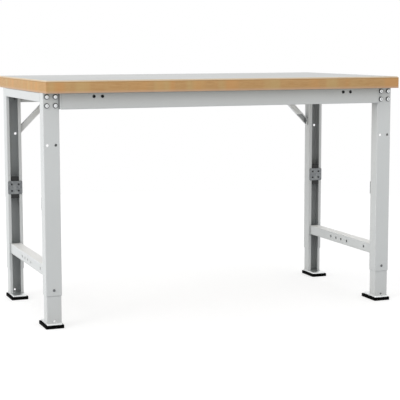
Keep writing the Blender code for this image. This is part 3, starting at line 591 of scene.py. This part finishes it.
cornerScrew = {"shankRadius": 0.004, "turnEach": 0.37, "turnEachLeg": 0.9}
low, high = boxInLeg("corner_screw_front_left_1", "front_left")
cornerSource = makeButtonHead("cornerScrewSource", (high.x - low.x) / 2, -low.y - seatGap,
                              cornerScrew["shankRadius"], high.y)
for legNumber, leg in enumerate(legNames):
    for number in (1, 2, 3, 4):
        # the sockets stand as the screws were driven home, each turned its own way
        turn = cornerScrew["turnEach"] * number + cornerScrew["turnEachLeg"] * legNumber
        node = f"corner_screw_{leg}_{number}"
        screw = copyPiece(cornerSource, f"cornerScrew_{leg}_{number}", seatOnColumn(node, leg, turn))
        dress(screw, highlightPaintedZinc, "bench_frame", "zinc_steel", node)
removePiece(cornerSource)

lockScrew = {"shankRadius": 0.0025}
low, high = boxInLeg("lock_screw_front_left", "front_left")
lockSource = makeButtonHead("lockScrewSource", (high.x - low.x) / 2, -low.y - seatGap,
                            lockScrew["shankRadius"], high.y)
for leg in legNames:
    node = f"lock_screw_{leg}"
    screw = copyPiece(lockSource, f"lockScrew_{leg}", seatOnColumn(node, leg))
    dress(screw, darkSteel, "bench_frame", "black_steel", node)
removePiece(lockSource)
print("screws made")


# Hexagon bolts of the rear braces: one in the foot of each tube, one up through the tab at its head

hexBolt = {"cornerEase": 0.0011, "sides": 36, "footHeight": 0.004, "footShank": 0.003, "headHeight": 0.0053,
           "headShank": 0.004}


def makeHexBolt(name, radius, height, shankRadius, shankLength):
    bolt = addRound(name, radius, height, 6)
    dome = addRound("boltDome", radius, height, hexBolt["sides"])
    bevelEdges(dome, lambda edge: allAt(edge, 1, -height), hexBolt["cornerEase"], 3)
    cutWith(bolt, dome, "INTERSECT")
    toFlat = radius * math.sqrt(3) / 2
    stepFaces(bolt, lambda face: allAt(face, 1, 0.0), toFlat - shankRadius, (0, shankLength, 0))
    smoothByAngle(bolt, 30)
    return bolt


def placeBolt(node, name, turn, seat, sizes):
    # sizes: head radius, head height, shank radius, shank length
    bolt = makeHexBolt(name, *sizes)
    bolt.data.transform(Matrix.Translation(seat) @ turn)
    dress(bolt, zinc, "bench_frame", "zinc_steel", node)


toAbove = Matrix.Rotation(math.pi / 2, 4, "X")  # turns a screw's own -Y down, so that its shank points up
for side, sign in (("left", -1), ("right", 1)):
    low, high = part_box(f"brace_bolt_foot_{side}")
    middle = (low + high) / 2
    height = hexBolt["footHeight"]
    sizes = ((high.z - low.z) / 2, height, hexBolt["footShank"], high.x - low.x - height)
    outer = low.x if sign > 0 else high.x
    seat = Vector((outer + sign * height, middle.y, middle.z))
    # the hexagon's corners lie up and down in the tube, as in the solid
    turn = Matrix.Rotation(-sign * math.pi / 2, 4, "Z") @ Matrix.Rotation(math.pi / 6, 4, "Y")
    placeBolt(f"brace_bolt_foot_{side}", f"braceBoltFoot_{side}", turn, seat, sizes)
    low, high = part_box(f"brace_bolt_head_{side}")
    middle = (low + high) / 2
    height = hexBolt["headHeight"]
    radius = max(high.x - low.x, high.y - low.y) / 2
    sizes = (radius, height, hexBolt["headShank"], high.z - low.z - height)
    seat = Vector((middle.x, middle.y, low.z + height))
    placeBolt(f"brace_bolt_head_{side}", f"braceBoltHead_{side}", toAbove, seat, sizes)
print("brace bolts made")


# Clamp plates with eased corners, each held by four small screws

clamp = {"corner": 0.0045, "ease": 0.0006, "screwAcross": 0.0245, "screwUp": 0.023, "screwGap": 0.0001,
         "headRadius": 0.0034, "headHeight": 0.0020, "shankRadius": 0.0018, "shankLength": 0.0025}
low, high = boxInLeg("clamp_plate_front_left", "front_left")
middle = (low + high) / 2
face = high.y + clamp["screwGap"]
plateSource = addBlock("clampPlateSource", low, high)
bevelEdges(plateSource, lambda edge: runsAlong(edge, 1), clamp["corner"], 6)
bevelEdges(plateSource, lambda edge: allAt(edge, 1, high.y) or allAt(edge, 1, low.y), clamp["ease"], 3)
smoothByAngle(plateSource, 30)
clampScrew = makeButtonHead("clampScrewSource", clamp["headRadius"], clamp["headHeight"],
                            clamp["shankRadius"], clamp["shankLength"])
toBack = Matrix.Rotation(math.pi, 4, "Z")
for leg in legNames:
    body = f"leg_{leg}"
    plate = copyPiece(plateSource, f"clampPlate_{leg}", legPlace(leg))
    dress(plate, galvanised, body, "galvanised_steel", f"clamp_plate_{leg}")
    for number, (across, up) in enumerate(((-1, 1), (1, 1), (-1, -1), (1, -1)), start=1):
        seat = Vector((across * clamp["screwAcross"] / 2, face, middle.z + up * clamp["screwUp"] / 2))
        place = legPlace(leg) @ Matrix.Translation(seat) @ toBack
        screw = copyPiece(clampScrew, f"clampScrew_{leg}_{number}", place)
        dress(screw, blackSteel, body, "black_steel")
removePiece(plateSource)
removePiece(clampScrew)
print("clamp plates made")


# Feet: a rubber tray with a rounded rim, and the steel plate that stands in it

foot = {"corner": 0.0032, "rim": 0.005, "rimEase": 0.0011, "recess": 0.0012, "recessRim": 0.006,
        "plateGap": 0.0003, "plateCorner": 0.0018, "plateEase": 0.0004}
padLow, padHigh = boxInLeg("rubber_pad_front_left", "front_left")
plateLow, plateHigh = boxInLeg("foot_plate_front_left", "front_left")
trayDepth = padHigh.z - plateLow.z + foot["plateGap"]
padSource = addBlock("padSource", padLow, padHigh)
bevelEdges(padSource, lambda edge: runsAlong(edge, 2), foot["corner"], 6)
stepFaces(padSource, lambda face: allAt(face, 2, padHigh.z), foot["rim"], (0, 0, -trayDepth))
stepFaces(padSource, lambda face: allAt(face, 2, padLow.z), foot["recessRim"], (0, 0, foot["recess"]))
bevelEdges(padSource, lambda edge: allAt(edge, 2, padHigh.z) or allAt(edge, 2, padLow.z), foot["rimEase"], 4)
smoothByAngle(padSource, 35)

footSource = addBlock("footSource", plateLow, plateHigh)
bevelEdges(footSource, lambda edge: runsAlong(edge, 2), foot["plateCorner"], 4)
bevelEdges(footSource, lambda edge: allAt(edge, 2, plateHigh.z), foot["plateEase"], 2)
smoothByAngle(footSource, 35)

for leg in legNames:
    body = f"leg_{leg}"
    pad = copyPiece(padSource, f"rubberPad_{leg}", legPlace(leg))
    dress(pad, rubber, body, "rubber", f"rubber_pad_{leg}")
    plate = copyPiece(footSource, f"footPlate_{leg}", legPlace(leg))
    dress(plate, footZinc, body, "foot_steel", f"foot_plate_{leg}")
removePiece(padSource)
removePiece(footSource)
print("feet made")


# Weld beads round the columns on the foot plates, laid as overlapping ripples and painted over

bead = {"radius": 0.0013, "reach": 0.0004, "stepMm": 0.7, "ripple": (0.82, 1.0, 0.97, 0.88),
        "startShare": 0.5, "growth": 0.25, "resolution": 2}


def layBead(name, corners, body):
    points = []
    for start, end in zip(corners, corners[1:]):
        steps = max(2, round((end - start).length * 1000 / bead["stepMm"]))
        points += [start.lerp(end, step / steps) for step in range(steps)]
    points.append(corners[-1])
    line = bpy.data.curves.new(name, "CURVE")
    line.dimensions = "3D"
    line.bevel_depth = bead["radius"]
    line.bevel_resolution = bead["resolution"]
    line.use_fill_caps = True
    spline = line.splines.new("POLY")
    spline.points.add(len(points) - 1)
    for number, (point, target) in enumerate(zip(points, spline.points)):
        toEnd = min(number, len(points) - 1 - number)
        fade = min(1.0, bead["startShare"] + bead["growth"] * toEnd)
        target.co = (*point, 1.0)
        target.radius = fade * bead["ripple"][number % len(bead["ripple"])]
    piece = bpy.data.objects.new(name, line)
    bpy.context.scene.collection.objects.link(piece)
    clearSelection()
    piece.select_set(True)
    bpy.context.view_layer.objects.active = piece
    bpy.ops.object.convert(target="MESH")
    bpy.ops.object.mode_set(mode="EDIT")
    bpy.ops.mesh.select_all(action="SELECT")
    bpy.ops.mesh.remove_doubles(threshold=samePlace)
    bpy.ops.mesh.normals_make_consistent(inside=False)
    bpy.ops.object.mode_set(mode="OBJECT")
    smoothByAngle(piece, 60)
    dress(piece, paint, body, "frame_paint")


for leg in legNames:
    low, high = boxInLeg(f"inner_column_{leg}", leg)
    plateTop = boxInLeg(f"foot_plate_{leg}", leg)[1].z
    left, right, outer = low.x - bead["reach"], high.x + bead["reach"], low.y - bead["reach"]
    path = [Vector((x, y, plateTop + bead["reach"]))
            for x, y in ((left, high.y), (left, outer), (right, outer), (right, high.y))]
    layBead(f"footWeld_{leg}", [legPlace(leg) @ point for point in path], f"leg_{leg}")
print("welds made")


# Small button-head screws that hold the board, up through the beams' upper flanges

fixing = {"places": (-0.5, -0.3, -0.1, 0.1, 0.3, 0.5), "headRadius": 0.0055, "headHeight": 0.0026,
          "shankRadius": 0.0024, "shankLength": 0.0015, "gap": 0.0002, "sheet": 0.002}
fixingSource = makeButtonHead("fixingScrewSource", fixing["headRadius"], fixing["headHeight"],
                              fixing["shankRadius"], fixing["shankLength"])
for beam in ("front_beam", "rear_beam"):
    low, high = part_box(beam)
    y = (low.y + high.y) / 2
    z = high.z - fixing["sheet"] - fixing["gap"]
    for number, x in enumerate(fixing["places"], start=1):
        place = Matrix.Translation((x, y, z)) @ toAbove
        screw = copyPiece(fixingSource, f"boardScrew_{beam}_{number}", place)
        dress(screw, zinc, "bench_frame", "zinc_steel")
removePiece(fixingSource)
print("board screws made")


# Black closed rivet nuts in the pair of holes near each end of a beam

insert = {"offset": 0.445, "spacing": 0.028, "drop": 0.0125, "flangeRadius": 0.0052, "flangeHeight": 0.0006,
          "barrelRadius": 0.0044, "barrelLength": 0.012, "boreRadius": 0.0027, "boreDepth": 0.010,
          "ease": 0.0003, "sides": 36}
front = -insert["flangeHeight"]
insertSource = addRound("insertSource", insert["flangeRadius"], insert["flangeHeight"], insert["sides"])
stepFaces(insertSource, lambda face: allAt(face, 1, 0.0), insert["flangeRadius"] - insert["barrelRadius"],
          (0, insert["barrelLength"], 0))
stepFaces(insertSource, lambda face: allAt(face, 1, front), insert["flangeRadius"] - insert["boreRadius"],
          (0, insert["boreDepth"], 0))
bevelEdges(insertSource, lambda edge: allAt(edge, 1, front), insert["ease"], 2)
smoothByAngle(insertSource, 35)
for beam, outward in (("front_beam", -1), ("rear_beam", 1)):
    low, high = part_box(beam)
    face = low.y if outward < 0 else high.y
    facing = Matrix.Rotation(0 if outward < 0 else math.pi, 4, "Z")
    places = [side * insert["offset"] + shift * insert["spacing"] / 2
              for side in (-1, 1) for shift in (-1, 1)]
    for number, x in enumerate(places, start=1):
        seat = Matrix.Translation((x, face + outward * seatGap, coreLow.z - insert["drop"]))
        piece = copyPiece(insertSource, f"rivetNut_{beam}_{number}", seat @ facing)
        dress(piece, blackSteel, "bench_frame", "black_steel")
removePiece(insertSource)
print("rivet nuts made")


# Stage: a pale floor that keeps the bench's shadow, white behind, soft light from the left

def seenByEye(tree):
    # camera, glossy and transmission rays see the background; the rest only light
    rays = addNode(tree, "LightPath", {})
    either = addNode(tree, "Math", {"operation": "MAXIMUM"},
                     {0: rays.outputs["Is Camera Ray"], 1: rays.outputs["Is Glossy Ray"]})
    return addNode(tree, "Math", {"operation": "MAXIMUM"},
                   {0: either.outputs[0], 1: rays.outputs["Is Transmission Ray"]}).outputs[0]


studio = {"worldLight": 0.93, "floorGlow": 0.62, "floorGrey": 0.45, "floorRadius": 3.2, "floorSides": 96,
          "floorDrop": 0.0005, "keyPlace": (-7.4, -3.3, 5.4), "keySize": 4.0, "keyPower": 160,
          "keyTarget": (0, 0, 0.5), "lowPlace": (-11.0, 0.4, 0.9), "lowSize": 2.6, "lowPower": 210,
          "lowTarget": (0.6, 0.1, 0.4)}

world = bpy.data.worlds.new("studioWorld")
world.use_nodes = True
bpy.context.scene.world = world
sky = world.node_tree
background = sky.nodes["Background"]
background.inputs["Color"].default_value = (1, 1, 1, 1)
skyLevel = addNode(sky, "Mix", {"data_type": "FLOAT", 2: studio["worldLight"], 3: 1.0},
                   {0: seenByEye(sky)})
sky.links.new(skyLevel.outputs[0], background.inputs["Strength"])

clearSelection()
bpy.ops.mesh.primitive_circle_add(vertices=studio["floorSides"], radius=studio["floorRadius"],
                                  fill_type="NGON", location=(0, 0, -studio["floorDrop"]))
floor = adopt("floor")
floorFinish = bpy.data.materials.new("paleFloor")
floorFinish.use_nodes = True
floorTree = floorFinish.node_tree
floorTree.nodes.remove(floorTree.nodes["Principled BSDF"])
matt = addNode(floorTree, "BsdfDiffuse", {"Color": (*[studio["floorGrey"]] * 3, 1)})
glowLevel = addNode(floorTree, "Math", {"operation": "MULTIPLY", 1: studio["floorGlow"]},
                    {0: seenByEye(floorTree)})
glow = addNode(floorTree, "Emission", {"Color": (1, 1, 1, 1)}, {"Strength": glowLevel.outputs[0]})
both = addNode(floorTree, "AddShader", {}, {0: matt.outputs[0], 1: glow.outputs[0]})
floorTree.links.new(both.outputs[0], floorTree.nodes["Material Output"].inputs["Surface"])
floor.data.materials.append(floorFinish)


def addSoftbox(name, place, size, power, target):
    lamp = bpy.data.lights.new(name, "AREA")
    lamp.shape = "SQUARE"
    lamp.size = size
    lamp.energy = power
    holder = bpy.data.objects.new(name, lamp)
    bpy.context.scene.collection.objects.link(holder)
    holder.location = place
    aim = Vector(target) - Vector(place)
    holder.rotation_euler = aim.to_track_quat("-Z", "Y").to_euler()


for lampName in ("key", "low"):
    addSoftbox(f"{lampName}Softbox", studio[f"{lampName}Place"], studio[f"{lampName}Size"],
               studio[f"{lampName}Power"], studio[f"{lampName}Target"])


# Camera at the photograph's place

shot = {"place": (-1.57374, -4.07758, 0.90419), "yaw": 21.38, "pitch": 7.19, "roll": -0.11,
        "lens": 110.676, "sensor": 36}
yaw, pitch, roll = (math.radians(shot[key]) for key in ("yaw", "pitch", "roll"))
ahead = Vector((math.sin(yaw) * math.cos(pitch), math.cos(yaw) * math.cos(pitch), -math.sin(pitch)))
level = Vector((math.cos(yaw), -math.sin(yaw), 0))
up = level.cross(ahead)
right = level * math.cos(roll) + up * math.sin(roll)
above = up * math.cos(roll) - level * math.sin(roll)
camera = bpy.data.objects.new("camera", bpy.data.cameras.new("camera"))
camera.data.lens = shot["lens"]
camera.data.sensor_width = shot["sensor"]
turn = Matrix((right, above, -ahead)).transposed().to_4x4()
camera.matrix_world = Matrix.Translation(shot["place"]) @ turn
bpy.context.scene.collection.objects.link(camera)
bpy.context.scene.camera = camera
bpy.context.scene.view_settings.view_transform = "Standard"
print("stage set")
